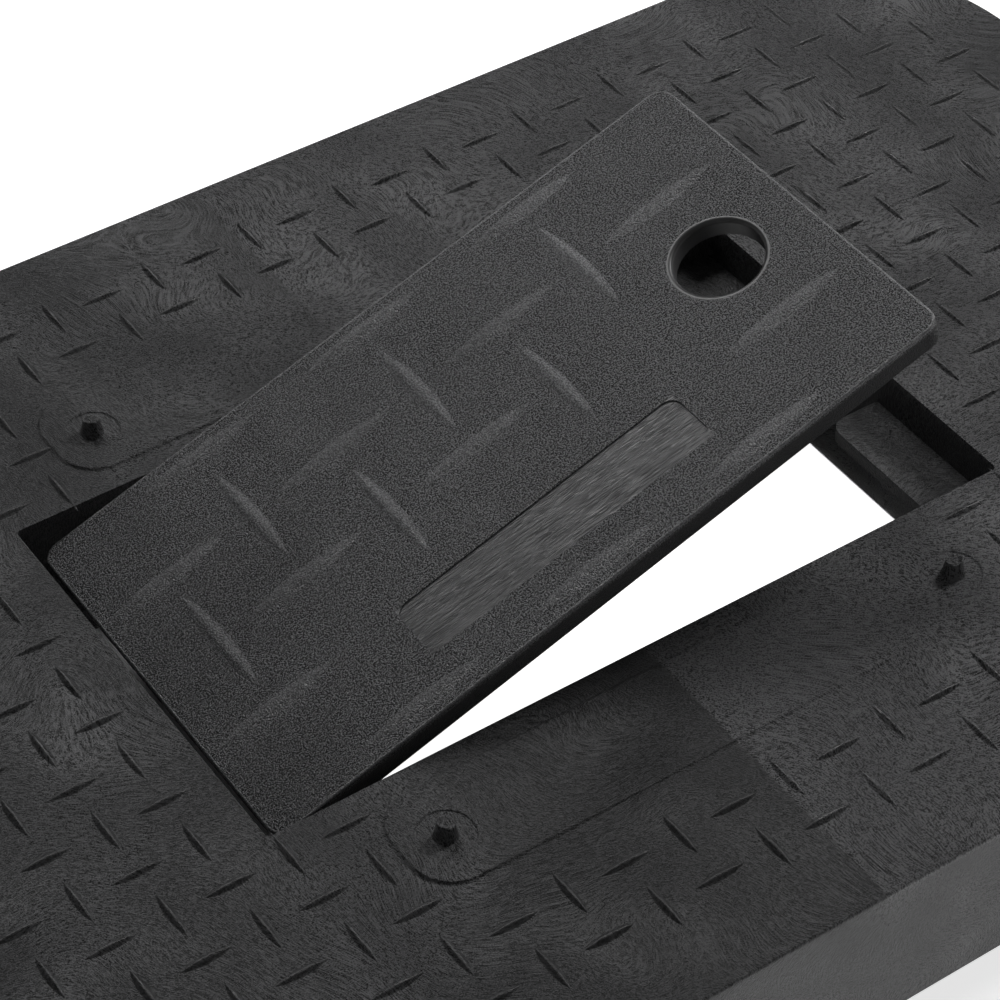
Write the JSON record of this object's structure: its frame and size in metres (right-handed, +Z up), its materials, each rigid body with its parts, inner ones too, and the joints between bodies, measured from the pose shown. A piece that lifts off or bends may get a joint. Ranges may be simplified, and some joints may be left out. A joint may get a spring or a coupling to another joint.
{
  "type": "water meter box cover",
  "caption": "Rectangular meter box cover with round corners, a raised basket-weave tread and a hinged reader lid with a finger hole, standing ajar.",
  "frame": {"origin": "middle of the cover's outline, on the plane of its bottom rim", "axes": "+X along the long side towards the reader lid's free end, +Z up out of the tread"},
  "size_m": [0.513, 0.3286, 0.1117],
  "materials": {
    "cover_plastic": "moulded, finely flecked and scratched",
    "lid_plastic": "moulded, with a fine pebble grain",
    "pin_steel": "drawn rod"
  },
  "bodies": {
    "box_cover": {"cover": "cover_plastic", "hinge_pin": "pin_steel"},
    "lid": {"reader_lid": "lid_plastic"}
  },
  "joints": [
    {"name": "lid_hinge", "type": "hinge", "parent": "box_cover", "child": "lid", "pos_m": [-0.0873, 0, 0.0362], "axis": [0, -1, 0], "range_deg": [-19, 109]}
  ]
}
